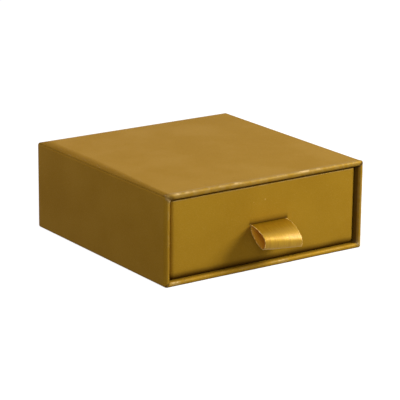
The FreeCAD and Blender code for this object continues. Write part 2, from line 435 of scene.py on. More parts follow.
@dataclass(frozen=True)
class PearlPaper:
    """The gold paper of every wrap: a pearl coating with a soft metallic lustre."""

    name: str = "pearl_gold_paper"
    deep: Colour = srgb(160, 121, 29)
    light: Colour = srgb(166, 127, 33)
    lustre: Colour = srgb(255, 205, 110)
    rubbed: Colour = srgb(170, 138, 70)
    worn: Colour = srgb(214, 184, 124)
    # painted shade for gaps, crevices and under the ribbon, also the dark lines where flaps meet
    soiled: Colour = srgb(58, 34, 4)
    dark_speck: Colour = srgb(92, 66, 18)
    light_speck: Colour = srgb(205, 172, 92)
    roughness: tuple[float, float] = (0.47, 0.42)  # in the cloud's deep and light parts
    metallic: float = 0.1
    specular: float = 0.02
    grain_depth: float = 0.00001
    fold_drop: float = 0.0023  # how deep the soft fold's edge would lie, were the paper bent
    fold_power: float = 1.85

    @cache
    def make(self) -> bpy.types.Material:
        """Builds the material.

        Returns:
            The material.
        """
        write = MaterialWriter(self.name)
        place = write.place()
        grain = write.group(paper_grain(), {"Vector": place})
        folded = {"Vector": place, "Edge": write.mark("rub"), "Patchiness": 0.7}
        rub = write.group(edge_rub(), folded)
        sparse = {"Vector": place, "Cells": 190.0, "Size": 0.045, "Share": 0.12}
        specks = write.group(dust_specks(), sparse)
        plain = write.mix(grain["Cloud"], self.deep, self.light)
        over = (
            (write.times(grain["Flake"], 0.16), self.light_speck),
            (write.remap(rub["Mask"], 0.0, 0.5), self.rubbed),
            (write.remap(rub["Mask"], 0.5, 1.0), self.worn),
            # the dark mark: painted shade, and the dark lines between flaps
            (write.times(write.mark("dark"), 0.85), self.soiled),
            (write.times(specks["Dark"], 0.7), self.dark_speck),
            (write.times(specks["Light"], 0.6), self.light_speck),
        )
        tone = write.layers(write.mottle(plain, grain["Tooth"], 0.07), over)
        rough = write.remap(grain["Cloud"], 0.0, 1.0, *self.roughness)
        rough = write.math("SUBTRACT", rough, write.times(rub["Mask"], 0.04))
        fine = write.math("ADD", grain["Height"], write.times(rub["Height"], 1.5))
        bent = write.math("POWER", write.mark("bend"), self.fold_power)
        drop = write.times(bent, self.fold_drop)
        height = write.math("SUBTRACT", write.times(fine, self.grain_depth), drop)
        sockets = {
            "Base Color": tone,
            "Roughness": rough,
            "Metallic": self.metallic,
            "Specular IOR Level": self.specular,
            "Specular Tint": self.lustre,
        }
        return write.finish(sockets, height, 1.0, 1.0)


@dataclass(frozen=True)
class PaperCore:
    """The pale core that shows along a cut edge of the wrap."""

    name: str = "paper_cut_edge"
    pale: Colour = srgb(222, 190, 130)
    stained: Colour = srgb(176, 134, 62)

    @cache
    def make(self) -> bpy.types.Material:
        """Builds the material.

        Returns:
            The material.
        """
        write = MaterialWriter(self.name)
        fine = {"Vector": write.place(), "Fibre Scale": 2600.0, "Pulp Scale": 1500.0}
        mat = write.group(fibre_mat(), fine)
        tone = write.mix(mat["Tone"], self.stained, self.pale)
        return write.finish({"Base Color": tone, "Roughness": 0.85}, mat["Height"], 0.00003, 0.6)


@dataclass(frozen=True)
class LiningPaper:
    """Plain matt paper that lines the sleeve behind the turned-in wrap."""

    name: str = "matt_lining_paper"
    deep: Colour = srgb(58, 42, 22)
    light: Colour = srgb(76, 57, 32)

    @cache
    def make(self) -> bpy.types.Material:
        """Builds the material.

        Returns:
            The material.
        """
        write = MaterialWriter(self.name)
        coarse = {"Vector": write.place(), "Tooth Scale": 1900.0, "Cloud Scale": 60.0}
        grain = write.group(paper_grain(), coarse)
        tone = write.mix(grain["Cloud"], self.deep, self.light)
        tone = write.mottle(tone, grain["Tooth"], 0.15)
        sockets = {"Base Color": tone, "Roughness": write.spread(grain["Tooth"], 0.72, 0.88)}
        return write.finish(sockets, grain["Height"], 0.00004, 0.6)


@dataclass(frozen=True)
class FibreBoard:
    """A pressed-fibre sheet: the greyboard panels, or the brown paper tape of the corners."""

    name: str
    deep: Colour
    light: Colour
    hair: Colour
    fibre_scale: float
    relief: float

    @cache
    def make(self) -> bpy.types.Material:
        """Builds the material.

        Returns:
            The material.
        """
        write = MaterialWriter(self.name)
        place = write.place()
        mat = write.group(fibre_mat(), {"Vector": place, "Fibre Scale": self.fibre_scale})
        dense = {"Vector": place, "Cells": 420.0, "Size": 0.16, "Share": 0.2}
        specks = write.group(dust_specks(), dense)
        over = (
            (write.times(mat["Hair"], 0.45), self.hair),
            (write.times(specks["Dark"], 0.6), self.deep),
            (write.times(specks["Light"], 0.5), self.hair),
        )
        tone = write.layers(write.mix(mat["Tone"], self.deep, self.light), over)
        rough = write.remap(mat["Tone"], 0.0, 1.0, 0.92, 0.8)
        sockets = {"Base Color": tone, "Roughness": rough}
        return write.finish(sockets, mat["Height"], self.relief, 0.7)


GREYBOARD = FibreBoard(
    name="greyboard",
    deep=srgb(112, 106, 97),
    light=srgb(146, 139, 127),
    hair=srgb(176, 170, 158),
    fibre_scale=700.0,
    relief=0.00007,
)
KRAFT_TAPE = FibreBoard(
    name="kraft_tape",
    deep=srgb(148, 112, 72),
    light=srgb(178, 141, 98),
    hair=srgb(198, 166, 124),
    fibre_scale=1100.0,
    relief=0.00003,
)


@dataclass(frozen=True)
class Satin:
    """One side of the satin ribbon."""

    name: str
    deep: Colour
    light: Colour
    bound: Colour
    roughness: float
    lustre: float
    bind_share: float
    glint: Colour = srgb(255, 230, 150)
    specular: float = 0.6
    coat: float = 0.42
    coat_roughness: float = 0.34
    anisotropy: float = 0.55

    @cache
    def make(self) -> bpy.types.Material:
        """Builds the material.

        Returns:
            The material.
        """
        write = MaterialWriter(self.name)
        weave_map = write.node("ShaderNodeUVMap", uv_map="weave").outputs[0]
        tangent = write.node("ShaderNodeTangent", direction_type="UV_MAP", uv_map="weave")
        weave = write.group(satin_weave(), {"Vector": weave_map})
        over = (
            (write.remap(weave["Float"], 0.0, 0.6, 0.35, 0.0), self.deep),
            (write.times(weave["Bind"], self.bind_share), self.bound),
        )
        tone = write.layers(write.mix(weave["Slub"], self.deep, self.light), over)
        rough = (self.roughness + 0.05, self.roughness - 0.03)
        sockets = {
            "Base Color": tone,
            "Roughness": write.remap(weave["Slub"], 0.0, 1.0, *rough),
            "Metallic": self.lustre,
            "Specular IOR Level": self.specular,
            "Specular Tint": self.glint,
            "Coat Weight": self.coat,
            "Coat Roughness": self.coat_roughness,
            "Anisotropic": self.anisotropy,
            "Tangent": tangent.outputs[0],
        }
        return write.finish(sockets, weave["Height"], 0.000006, 0.4)


SATIN_FACE = Satin(
    name="satin_face",
    deep=srgb(163, 119, 2),
    light=srgb(179, 142, 16),
    bound=srgb(143, 99, 2),
    roughness=0.61,
    lustre=0.66,
    bind_share=0.3,
)
# the satin's back: duller and lighter than its face, and lighter still as painted light for the
# glow through the thin ribbon
SATIN_REVERSE = Satin(
    name="satin_reverse",
    deep=srgb(214, 160, 24),
    light=srgb(226, 174, 40),
    bound=srgb(248, 214, 104),
    roughness=0.5,
    lustre=0.1,
    bind_share=0.5,
)


@dataclass(frozen=True)
class SelvedgeThread:
    """The polyester thread that is looped along both edges of the ribbon."""

    name: str = "selvedge_thread"
    deep: Colour = srgb(112, 74, 12)
    light: Colour = srgb(240, 204, 120)

    @cache
    def make(self) -> bpy.types.Material:
        """Builds the material.

        Returns:
            The material.
        """
        write = MaterialWriter(self.name)
        place = write.place()
        threads = write.noise(write.stretch(place, (1.0, 3.0, 3.0)), 2400.0, 3.0, 0.6)
        patches = write.remap(write.noise(place, 1500.0, 2.0, 0.5), 0.42, 0.56)
        tone = write.mottle(write.mix(patches, self.deep, self.light), threads, 0.2)
        rough = write.spread(threads, 0.3, 0.5)
        sockets = {"Base Color": tone, "Roughness": rough, "Metallic": 0.2}
        return write.finish(sockets, threads, 0.00002, 0.5)


# ---------------------------------------------------------------- meshes


@dataclass
class Skin:
    """A sheet as its outer points, their outward directions, their marks and its faces."""

    points: np.ndarray
    normals: np.ndarray
    marks: dict[str, np.ndarray]
    faces: list[tuple[int, ...]]

    def border(self) -> list[tuple[int, int]]:
        """Gives the edges that only one face has, in that face's direction.

        Returns:
            The edges, each as its two points' numbers.
        """
        loops = (zip(face, face[1:] + face[:1]) for face in self.faces)
        seen = dict.fromkeys(edge for loop in loops for edge in loop)
        return [edge for edge in seen if (edge[1], edge[0]) not in seen]

    def thicken(
        self, name: str, thickness: float, materials: tuple[bpy.types.Material, ...]
    ) -> bpy.types.Object:
        """Makes the sheet a closed solid of even thickness.

        Args:
            name: The piece's name.
            thickness: The sheet's thickness, in metres.
            materials: The face's material, then the cut edge's.

        Returns:
            The new piece.
        """
        count = len(self.points)
        under = self.points - self.normals * thickness
        faces = self.faces + [tuple(i + count for i in reversed(face)) for face in self.faces]
        cut = [(end, start, start + count, end + count) for start, end in self.border()]
        mesh = bpy.data.meshes.new(name)
        mesh.from_pydata(np.vstack((self.points, under)).tolist(), [], faces + cut)
        for material in materials:
            mesh.materials.append(material)
        indices = np.zeros(len(mesh.polygons), np.int32)
        indices[len(faces):] = len(materials) - 1
        mesh.polygons.foreach_set("material_index", indices)
        for mark, values in self.marks.items():
            layer = mesh.attributes.new(mark, "FLOAT", "POINT")
            layer.data.foreach_set("value", np.tile(values, 2).astype(np.float32))
        mesh.shade_smooth()
        rims = {tuple(sorted(edge)) for quad in cut for edge in (quad[:2], quad[2:])}
        sharp = [tuple(sorted(edge.vertices)) in rims for edge in mesh.edges]
        mesh.attributes.new("sharp_edge", "BOOLEAN", "EDGE").data.foreach_set("value", sharp)
        mesh.validate()
        return add_object(name, mesh)


@dataclass(frozen=True)
class Row:
    """One line of a wrap that runs round the walls."""

    inset: float  # how far in from the walls' outside
    level: float  # place along the axis
    outward: float  # share of the wall's outward direction in the surface's
    along: float  # share of the axis in it
    rub: float = 0.0  # how burnished the paper is there
    joined: bool = True  # whether neighbouring walls share the paper there
    lip: float = 0.0  # how far round the lip, as a share


def edge_row(inset: float, level: float, radius: float, turn: float, up: int, **kept: Any) -> Row:
    """Gives a line on a rounded edge between a wall's outside and its end.

    Args:
        inset: How far in the edge's outside is.
        level: Place of the wall's end along the axis.
        radius: The edge's radius.
        turn: The line's turn, from 0 at the wall's outside to a quarter at its end, and on.
        up: 1 where the end faces along the axis, and -1 where it faces back.
        kept: The row's other values.

    Returns:
        The row.
    """
    outward, along = math.cos(turn), math.sin(turn)
    level -= up * radius * (1 - along)
    return Row(inset + radius * (1 - outward), level, outward, up * along, **kept)


@dataclass(frozen=True)
class Side:
    """One wall's paper, seen along the axis."""

    name: str
    normal: Vector
    tangent: Vector
    reach: float  # from the middle to the wall's outside
    half: float  # half of the wall's length
    stops: tuple[float, ...]  # columns on its flat part, from -1 to 1
    corner_first: bool = True  # whether its first end is a corner, and not the seam
    corner_last: bool = True


@dataclass(frozen=True)
class Spot:
    """Where a point of a wrap is, for what makes the paper uneven."""

    side: Side
    row: Row
    place: Vector
    to_first: float = 0.0  # distance from the side's first corner
    to_last: float = 0.0  # distance from its last corner

    @property
    def around(self) -> Vector:
        """The place seen along the sleeve's axis."""
        return Vector((self.place.x, 0.0, self.place.z))


@dataclass(frozen=True)
class Corner:
    """How two flaps meet at a corner of the lip."""

    gap: float  # between their edges
    lift: float = 0.0  # how far their edges stand up
    pale: float = 0.0  # how far the coating is worn off them
    dark: float = 0.0  # how dark the line between them is


@dataclass(frozen=True)
class Wear:
    """What use and folding have done to the paper at a point, and the shade painted on it."""

    rub: float = 0.0  # burnished and worn pale
    bend: float = 0.0  # how near a soft fold it is, evenly rising towards it
    dark: float = 0.0  # painted shade in the mouth's gaps, the drawer's bottom crevice and above the slot, and the dark lines where flaps meet


def even_stops(
    length: float,
    spacing: float,
    fine: Iterable[tuple[float, float]] = (),
    fine_spacing: float = 0.0,
) -> tuple[float, ...]:
    """Spreads columns over a flat wall, closer together in some ranges.

    Args:
        length: Half of the flat part.
        spacing: The usual distance between columns.
        fine: Ranges with closer columns, as places along the wall.
        fine_spacing: The distance there.

    Returns:
        The columns' places, from -1 to 1.
    """
    marks = set()
    borders = [-length] + [edge for pair in fine for edge in pair] + [length]
    for index, (low, high) in enumerate(zip(borders, borders[1:])):
        count = max(1, round((high - low) / (fine_spacing if index % 2 else spacing)))
        marks.update(low + (high - low) * i / count for i in range(1, count))
        marks.update((low, high))
    return tuple(mark / length for mark in sorted(marks))


@dataclass(frozen=True)
class Wrap:
    """Paper folded round four walls that stand about an axis."""

    centre: Vector
    axis: Vector
    radius: float
    sides: tuple[Side, ...]
    closed: bool
    arc_steps: int = 6
    least_radius: float = 0.00005

    def columns(self, side: Side) -> list[tuple[float, float]]:
        """Lists a side's columns as a place on the flat part and a turn round the corner.

        Args:
            side: The wall.

        Returns:
            The columns, from its first end to its last.
        """
        arc = [math.pi / 4 * i / self.arc_steps for i in range(1, self.arc_steps + 1)]
        first = [(-1.0, -turn) for turn in reversed(arc)] if side.corner_first else []
        last = [(1.0, turn) for turn in arc] if side.corner_last else []
        return first + [(stop, 0.0) for stop in side.stops] + last

    def spot(self, side: Side, row: Row, stop: float, turn: float) -> tuple[Spot, Vector]:
        """Finds a point and its outward direction on the even wrap.

        Args:
            side: The wall.
            row: The line round the walls.
            stop: The column's place on the flat part, from -1 to 1.
            turn: The column's turn round the corner.

        Returns:
            The spot and the surface's outward direction there.
        """
        depth = max(self.radius, row.inset + self.least_radius)
        radius, flat = depth - row.inset, side.half - depth
        facing = side.normal * math.cos(turn) + side.tangent * math.sin(turn)
        place = self.centre + side.normal * (side.reach - depth) + side.tangent * (stop * flat)
        place = place + facing * radius + self.axis * row.level
        whole, left = math.pi / 4 * radius, abs(math.pi / 4 - abs(turn)) * radius
        to_first = (stop + 1) * flat + (left if turn < 0 else whole)
        to_last = (1 - stop) * flat + (left if turn > 0 else whole)
        outward = (facing * row.outward + self.axis * row.along).normalized()
        return Spot(side, row, place, to_first, to_last), outward

    def neighbour(self, lengths: list[int], side: int, column: int) -> tuple[int, int] | None:
        """Finds the side and column that a side's end column falls on.

        Args:
            lengths: Every side's number of columns.
            side: The side's number.
            column: The column's number.

        Returns:
            The neighbour's side and column, or None away from a shared corner.
        """
        before = (side - 1) % len(lengths)
        if column == 0 and self.sides[side].corner_first:
            return before, lengths[before] - 1
        closing = side == len(lengths) - 1 and column == lengths[side] - 1
        return (0, 0) if self.closed and closing else None

    def build(
        self,
        rows: list[Row],
        move: Callable[[Spot, Vector], Vector],
        wear: Callable[[Spot], Wear],
        keep: Callable[[Spot], bool],
    ) -> Skin:
        """Lays the paper.

        Args:
            rows: The lines from one edge of the sheet to the other.
            move: Gives how far a point is off its even place.
            wear: Gives what has happened to the coating, and the shade painted on it.
            keep: Tells whether there is paper at the middle of a face.

        Returns:
            The sheet.
        """
        index: dict[tuple[int, int, int], int] = {}
        points, normals, worn, faces = [], [], [], []
        grid = [self.columns(side) for side in self.sides]
        lengths = [len(columns) for columns in grid]
        for s, side in enumerate(self.sides):
            for r, row in enumerate(rows):
                for c, (stop, turn) in enumerate(grid[s]):
                    shared = self.neighbour(lengths, s, c) if row.joined else None
                    other = (r, *shared) if shared else None
                    if other in index:
                        index[(r, s, c)] = index[other]
                        continue
                    spot, outward = self.spot(side, row, stop, turn)
                    index[(r, s, c)] = len(points)
                    points.append(spot.place + move(spot, outward))
                    normals.append(outward)
                    worn.append(wear(spot))
        for s, side in enumerate(self.sides):
            for r in range(len(rows) - 1):
                for c in range(lengths[s] - 1):
                    stop, turn = ((a + b) / 2 for a, b in zip(grid[s][c], grid[s][c + 1]))
                    near, far = (self.spot(side, rows[i], stop, turn)[0].place for i in (r, r + 1))
                    if keep(Spot(side, rows[r], (near + far) / 2)):
                        ring = ((r, c), (r, c + 1), (r + 1, c + 1), (r + 1, c))
                        faces.append(tuple(index[(i, s, j)] for i, j in ring))
        face = faces[len(faces) // 2]
        a, b, c = (points[i] for i in face[:3])
        if (b - a).cross(c - b).dot(normals[face[0]]) < 0:
            faces = [tuple(reversed(face)) for face in faces]
        marks = {mark: np.array([getattr(w, mark) for w in worn]) for mark in vars(Wear())}
        return Skin(np.array(points), np.array(normals), marks, faces)


def lip_point(
    share: float, wall: float, start: float, outer: float, inner: float
) -> tuple[float, float, float, float]:
    """Finds a point on the way round the end of a wall, from its outside to its inside.

    Args:
        share: How far along that way, from 0 to 1.
        wall: The wall's thickness.
        start: How far from the end the way starts, outside and inside.
        outer: Radius of the outer edge.
        inner: Radius of the inner edge.

    Returns:
        How far in from the outside and behind the end the point is, then its direction outward
        and along.
    """
    runs = (start - outer, QUARTER * outer, wall - outer - inner, QUARTER * inner, start - inner)
    place = share * sum(runs)
    if place <= runs[0]:
        return 0.0, start - place, 1.0, 0.0
    place -= runs[0]
    if place <= runs[1]:
        cos, sin = math.cos(place / outer), math.sin(place / outer)
        return outer * (1 - cos), outer * (1 - sin), cos, -sin
    place -= runs[1]
    if place <= runs[2]:
        return outer + place, 0.0, 0.0, -1.0
    place -= runs[2]
    if place <= runs[3]:
        cos, sin = math.cos(place / inner), math.sin(place / inner)
        return wall - inner * (1 - sin), inner * (1 - cos), -sin, -cos
    return wall, inner + place - runs[3], -1.0, 0.0


def flap_shift(
    spot: Spot, first: Corner, last: Corner, part: float, reach: float
) -> tuple[Vector, float]:
    """Opens the slit between two flaps and stands their edges up.

    Args:
        spot: The point.
        first: The corner at the side's first end.
        last: The corner at its last end.
        part: How much of the slit's width applies in this row.
        reach: How far from the corner the paper is disturbed.

    Returns:
        The shift along the wall, and the height that the paper stands up.
    """
    near_first = bell(spot.to_first, reach) if spot.side.corner_first else 0.0
    near_last = bell(spot.to_last, reach) if spot.side.corner_last else 0.0
    shift = first.gap * near_first - last.gap * near_last
    lift = first.lift * near_first + last.lift * near_last
    return spot.side.tangent * shift * part, lift * part


# ---------------------------------------------------------------- the sleeve


@dataclass(frozen=True)
class Lip:
    """How a side's paper goes round the end of its board, with places as shares of the way."""

    outer: float  # radius of the outer edge
    inner: float  # radius of the inner edge
    ridge: float  # where the worn ridge runs
    width: float  # half of the ridge's width
    shine: float  # how worn the ridge is
    worn: float = 0.0  # how worn the whole lip is
    soil: float = 0.0  # how dark the painted shade on a part of it is
    soil_from: float = 0.0  # where the painted shade starts
    soil_run: float = 1.0  # over how much it grows, below 0 towards the outside


@dataclass(frozen=True)
class Stain:
    """A pale patch on the bottom lip."""

    middle: float  # place along x
    half: float
    strength: float


@dataclass
class Sleeve:
    """The outer box: wrapped greyboard, open at the mouth and closed at the back."""

    width: float = 0.090
    depth: float = 0.090
    height: float = 0.0343
    wall: float = 0.0019
    paper: float = 0.0002
    fold_radius: float = 0.001
    lip_radius: float = 0.00085
    lip_start: float = 0.0014
    lip_steps: int = 30
    joined_lip: float = 0.17  # share of the lip's way before the slits between the flaps start
    bead: float = 0.00012
    bead_left: float = 0.00022
    bead_from: float = -0.007  # where the bead starts to grow towards the left
    bead_run: float = 0.01  # over how much it grows
    bead_reach: float = 0.0014
    soft_fold: float = 0.0056  # reach of the fold along the top's left edge, away from the mouth
    fold_at_mouth: float = 0.55  # share of that reach at the mouth
    fold_length: float = 0.06  # how far from the mouth it grows
    turn_in: float = 0.015
    back_flap: float = 0.010
    patch_margin: float = 0.002
    seam_left: float = -0.037
    seam_gap: float = 0.0001
    column_spacing: float = 0.0008
    end_spacing: float = 0.00025
    end_range: float = 0.0025
    swell: float = 0.00003  # unevenness of the board under the paper
    dent: float = 0.0001  # unevenness of the lip
    nick: float = 0.00005
    slack: float = 0.00002  # the most that the paper inside the mouth stands off
    slit_reach: float = 0.0009  # how far from a slit the paper is disturbed
    slit_line: float = 0.0004  # half of the dark line between two flaps
    back_reach: float = 0.0012
    back_rub: float = 0.75
    # how dark the painted shade is on the turned-in paper inside the mouth
    inside_soil: float = 0.35
    stain_end: float = 0.72  # share of the lip's way where the stains end
    patch_share: float = 0.85  # the patch's thickness, as a share of the wrap's
    back_corner: Corner = Corner(0.00008)
    lips: dict[str, Lip] = field(
        default_factory=lambda: {
            "top": Lip(0.0008, 0.0011, 0.25, 0.14, 1.0, worn=0.26),
            "bottom": Lip(0.0008, 0.0011, 0.66, 0.1, 0.45, 0.0, 0.2, 0.5, -0.15),
            "left": Lip(0.0014, 0.0004, 0.52, 0.1, 0.5),
            "right": Lip(0.00085, 0.00085, 0.3, 0.09, 0.35, 0.26, 0.3, 0.46, 0.22),
        }
    )
    lip_corners: dict[tuple[str, str], Corner] = field(
        default_factory=lambda: {
            ("high", "left"): Corner(0.0001, 0.00026, pale=1.0),
            ("low", "left"): Corner(0.00018, 0.00001, dark=1.0),
            ("high", "right"): Corner(0.00014, 0.00008, dark=1.0),
            ("low", "right"): Corner(0.00006, 0.00016, pale=0.8),
        }
    )
    stains: tuple[Stain, ...] = (Stain(-0.0403, 0.0022, 0.8), Stain(0.0078, 0.0025, 0.5))

    def sides(self) -> tuple[Side, ...]:
        """Gives the four walls' paper, the underside in two parts that meet at the seam.

        Returns:
            The sides, in order round the sleeve.
        """
        tall, broad = self.height / 2, self.width / 2
        wide, high = (self.stops(half - self.fold_radius) for half in (broad, tall))
        flat = broad - self.fold_radius
        seam, gap = self.seam_left / flat, self.seam_gap / flat
        before = tuple(stop for stop in wide if stop < seam - gap) + (seam - gap / 2,)
        after = (seam + gap / 2,) + tuple(stop for stop in wide if stop > seam + gap)
        return (
            Side("bottom", -Z, X, tall, broad, after, corner_first=False),
            Side("right", X, Z, broad, tall, high),
            Side("top", Z, -X, tall, broad, wide),
            Side("left", -X, -Z, broad, tall, high),
            Side("bottom", -Z, X, tall, broad, before, corner_last=False),
        )

    def stops(self, flat: float) -> tuple[float, ...]:
        """Gives a wall's columns, closer at its ends, where the flaps meet."""
        ends = [(-flat, self.end_range - flat), (flat - self.end_range, flat)]
        return even_stops(flat, self.column_spacing, ends, self.end_spacing)

    def rows(self) -> list[Row]:
        """Lists the wrap's lines from the back flaps' edge to the turned-in ones'.

        Returns:
            The lines.
        """
        back, mouth, radius = self.depth / 2 - self.paper, -self.depth / 2, self.lip_radius
        insets = (self.back_flap, 0.007, 0.0045, 0.0028, 0.0018, 0.0011)
        rows = [Row(inset, back, 0, 1, joined=False) for inset in insets]
        steps = 6
        for i in range(steps + 1):
            turn = QUARTER * (1 - i / steps)
            rub = self.back_rub * math.sin(2 * turn)
            rows.append(edge_row(0.0, back, radius, turn, 1, rub=rub, joined=i > steps / 2))
        start, end, close, near = back - radius, mouth + self.lip_start, 0.0003, 8
        rows += [Row(0, level, 1, 0) for level in np.linspace(start, end + near * close, 36)[1:]]
        rows += [Row(0, end + i * close, 1, 0) for i in range(near - 1, 0, -1)]
        for i in range(self.lip_steps + 1):
            share = i / self.lip_steps
            inset, behind, *way = lip_point(share, self.wall, self.lip_start, radius, radius)
            joined = share < self.joined_lip
            rows.append(Row(inset, mouth + behind, *way, 0.0, joined, max(share, 0.001)))
        levels = np.linspace(end, mouth + self.turn_in, 8)[1:]
        return rows + [Row(self.wall, level, -1, 0, joined=False) for level in levels]

    def lip_form(self, spot: Spot) -> Vector:
        """Gives how far a side's own lip is off the even one of the rows.

        Args:
            spot: The point.

        Returns:
            The shift.
        """
        way, lip = (spot.row.lip, self.wall, self.lip_start), self.lips[spot.side.name]
        inset, behind, _, _ = lip_point(*way, self.lip_radius, self.lip_radius)
        to_inset, to_behind, _, _ = lip_point(*way, lip.outer, lip.inner)
        return spot.side.normal * (inset - to_inset) + Y * (to_behind - behind)

    def corners(self, side: Side) -> list[Corner]:
        """Gives how the flaps meet at the two ends of a side's lip.

        Args:
            side: The wall.

        Returns:
            The corner at its first end and the one at its last.
        """
        ways = (side.normal - side.tangent, side.normal + side.tangent)
        keys = [("high" if w.z > 0 else "low", "right" if w.x > 0 else "left") for w in ways]
        return [self.lip_corners[key] for key in keys]

    def lip_wear(self, spot: Spot) -> tuple[float, float]:
        """Gives how rubbed the paper is on the way round a lip, and how dark it is made there by
        painted shade and the lines between flaps.

        Args:
            spot: The point.

        Returns:
            The rub and the darkening, which is painted shade and flap lines.
        """
        share, lip = spot.row.lip, self.lips[spot.side.name]
        patchy = 0.55 + 0.45 * ripple(spot.around, 0.0065, 2.7)
        patchy += 0.3 * ripple(spot.around, 0.0017, 5.5)
        rub = lip.worn + lip.shine * patchy * bell(share - lip.ridge, lip.width)
        # painted shade on the right lip's inner part, which faces away from the light, and on the
        # bottom lip's outer, downward part
        dark = lip.soil * smoothstep((share - lip.soil_from) / lip.soil_run)
        if spot.side.name == "bottom" and share < self.stain_end:
            for stain in self.stains:
                rub += stain.strength * bell(spot.place.x - stain.middle, stain.half)
        if not spot.row.joined:
            for corner, distance in zip(self.corners(spot.side), (spot.to_first, spot.to_last)):
                rub += corner.pale * bell(distance, self.slit_reach)
                dark += corner.dark * bell(distance, self.slit_line)
        return rub, dark

    def wear(self, spot: Spot) -> Wear:
        """Gives what folding and use have done to the paper at a point, and the shade painted on
        it.

        Args:
            spot: The point.

        Returns:
            Its rubbing, bending and painted shade.
        """
        row, forward = spot.row, spot.place.y + self.depth / 2
        rub, dark = self.lip_wear(spot) if row.lip else (row.rub, 0.0)
        # painted shade on the turned-in paper inside the mouth, deep in the gap
        dark += self.inside_soil * (row.inset >= self.wall and spot.place.y < 0)
        bend = 0.0
        if spot.side.name == "top":
            least = self.fold_at_mouth
            narrow = least + (1 - least) * smoothstep(forward / self.fold_length)
            bend = (1 - spot.to_last / (self.soft_fold * narrow)) * narrow**0.35
        return Wear(min(rub, 1.0), max(bend, 0.0), min(dark, 1.0))

    def top_bead(self, spot: Spot) -> float:
        """Gives how far the top's paper rises over the end of its board.

        Args:
            spot: The point.

        Returns:
            The height.
        """
        behind = max(spot.place.y + self.depth / 2 - self.lip_radius, 0.0)
        leftward = smoothstep((self.bead_from - spot.place.x) / self.bead_run)
        bead = self.bead + self.bead_left * leftward
        return bead * bell(behind, self.bead_reach) * spot.row.outward

    def unevenness(self, spot: Spot, outward: Vector) -> Vector:
        """Gives how the paper and the board beneath it are off their true planes.

        Args:
            spot: The point on the even wrap.
            outward: The surface's direction there.

        Returns:
            How far the point moves.
        """
        row, place = spot.row, spot.place
        if place.y > 0 and not row.joined:
            return flap_shift(spot, self.back_corner, self.back_corner, 1.0, self.back_reach)[0]
        height = self.swell * (0.5 + 0.5 * ripple(place, 0.022, 3.1))
        shift = Vector((0, 0, 0))
        if spot.side.name == "top" and row.outward > 0 and place.y < 0:
            height += self.top_bead(spot)
        if row.lip:
            shift = self.lip_form(spot)
            bumps = self.dent * (0.5 + 0.5 * ripple(spot.around, 0.0042, 7.7))
            nicks = self.nick * max(0.0, ripple(spot.around, 0.0013, 1.9))
            height += (bumps + nicks) * smoothstep(row.lip / 0.25)
        if not row.joined:
            part = min(1.0, max(row.lip - 0.1, 0.0) * 3) if row.lip else 0.6
            slide, lift = flap_shift(spot, *self.corners(spot.side), part, self.slit_reach)
            shift = shift + slide
            height += lift * bool(row.lip)
        if row.inset >= self.wall and place.y < 0:
            height = min(height, self.slack)
        if spot.side.name == "bottom" and row.outward > 0.9:
            height = 0.0
        return outward * height + shift

    def wrap(self) -> bpy.types.Object:
        """Makes the gold paper round the sleeve.

        Returns:
            The piece.
        """
        form = Wrap(Z * (self.height / 2), Y, self.fold_radius, self.sides(), closed=False)
        skin = form.build(self.rows(), self.unevenness, self.wear, lambda spot: True)
        return skin.thicken("sleeve_paper", self.paper, wrap_materials())

    def patch(self) -> bpy.types.Object:
        """Makes the sheet over the back, which dips between the flaps that it covers.

        Returns:
            The piece.
        """
        half_wide, columns, lines = self.width / 2 - self.patch_margin, 109, 45
        points, faces, ease = [], [], 0.0008
        for z in np.linspace(self.patch_margin, self.height - self.patch_margin, lines):
            for x in np.linspace(-half_wide, half_wide, columns):
                inside_x = (self.width / 2 - self.back_flap - abs(x)) / ease
                inside_z = (min(z, self.height - z) - self.back_flap) / ease
                dip = smoothstep(inside_x) * smoothstep(inside_z) * self.paper
                bow = self.swell / 2 * (1 + ripple(Vector((x, 0, z)), 0.011, 5.2))
                points.append((x, self.depth / 2 - max(dip, bow), z))
        for first in range((lines - 1) * columns):
            if (first + 1) % columns:
                faces.append((first + 1, first, first + columns, first + columns + 1))
        skin = Skin(np.array(points), np.tile((0.0, 1.0, 0.0), (len(points), 1)), {}, faces)
        return skin.thicken("back_patch_paper", self.paper * self.patch_share, wrap_materials())

    def build(self) -> None:
        """Makes and places the sleeve's pieces, and dresses its hidden sheets and boards."""
        place_piece(self.wrap(), Body.SLEEVE, Slot.GOLD_PAPER, "sleeve_wrap")
        place_piece(self.patch(), Body.SLEEVE, Slot.GOLD_PAPER, "sleeve_back_patch")
        finish_nodes(LiningPaper().make(), "sleeve_liner", "sleeve_back_liner")
        walls = ("top", "bottom", "left", "right", "back")
        finish_nodes(GREYBOARD.make(), *(f"sleeve_{wall}_board" for wall in walls))


# ---------------------------------------------------------------- the drawer


